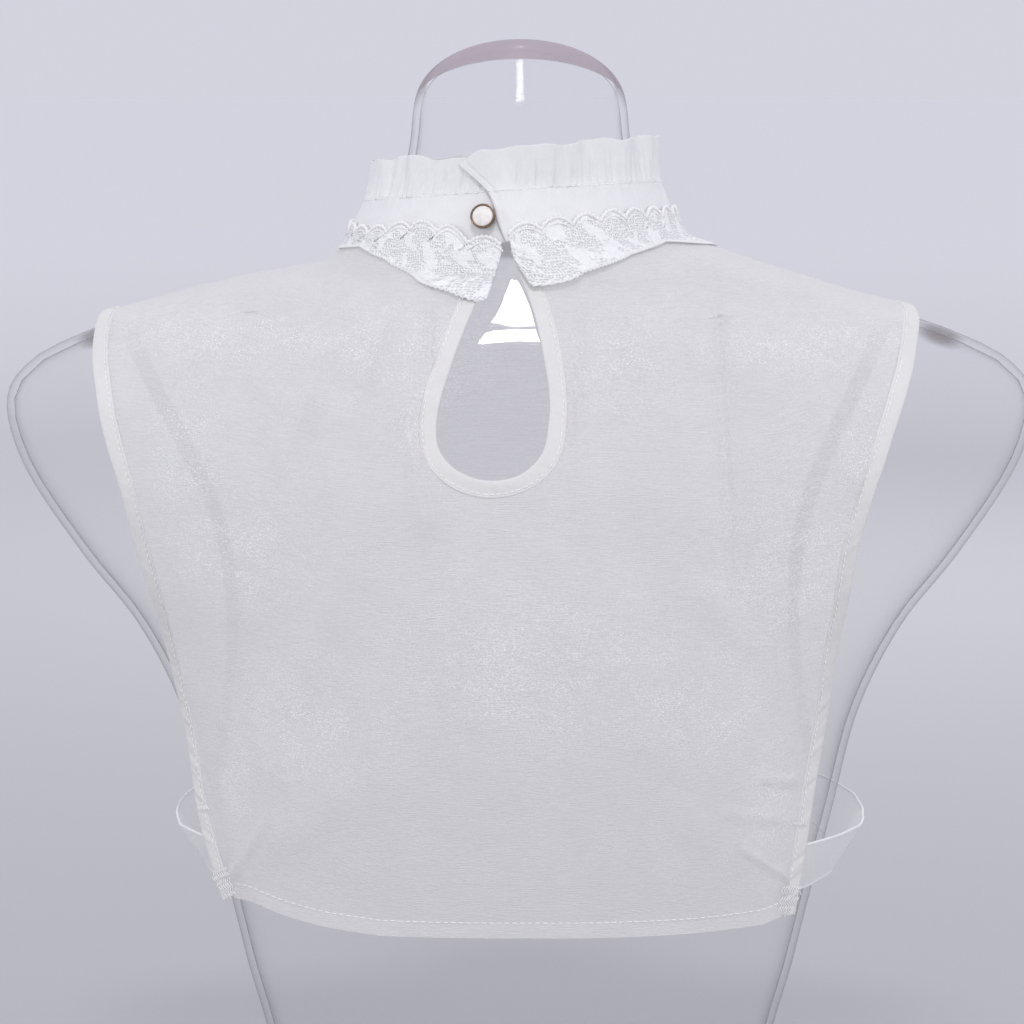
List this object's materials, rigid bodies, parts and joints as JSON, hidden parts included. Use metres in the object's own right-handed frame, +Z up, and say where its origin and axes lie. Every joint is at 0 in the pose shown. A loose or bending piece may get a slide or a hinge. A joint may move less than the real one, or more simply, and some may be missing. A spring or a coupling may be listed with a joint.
{
  "type": "false collar on a dress form",
  "caption": "Sheer sleeveless false collar with a frilled stand collar, scalloped lace and a buttoned keyhole back, worn on a clear hollow dress form.",
  "frame": {"origin": "centre of the object's bounding box, on the plane that the form stands on", "axes": "+Z up, the back with the keyhole and the button faces -Y, +X is to the right as that back is looked at, +Y is the wearer's front"},
  "size_m": [0.4212, 0.2376, 0.5038],
  "materials": {
    "clear_form": "clear moulded plastic, glossy, seen through",
    "sheer_cloth": "sheer off-white crepe with a fine level rib and a faint glitter",
    "sheer_front": "the same sheer off-white crepe, on the front panel",
    "binding_tape": "opaque off-white bias tape, matt, slightly puckered",
    "collar_cloth": "close opaque off-white cloth, matt",
    "lace_thread": "off-white corded lace over a fine net, uncut",
    "button_gold": "polished thin metal rim",
    "button_pearl": "pearly, glossy"
  },
  "bodies": {
    "root": {"dress_form": "clear_form", "back_panel": "sheer_cloth", "front_panel": "sheer_front", "armhole_binding_left": "binding_tape", "armhole_binding_right": "binding_tape", "keyhole_binding": "binding_tape", "side_strap_left": "sheer_cloth", "side_strap_right": "sheer_cloth", "collar_band": "collar_cloth", "collar_frill": "collar_cloth", "lace_trim": "lace_thread", "button_rim": "button_gold", "button_pearl": "button_pearl"}
  },
  "joints": []
}
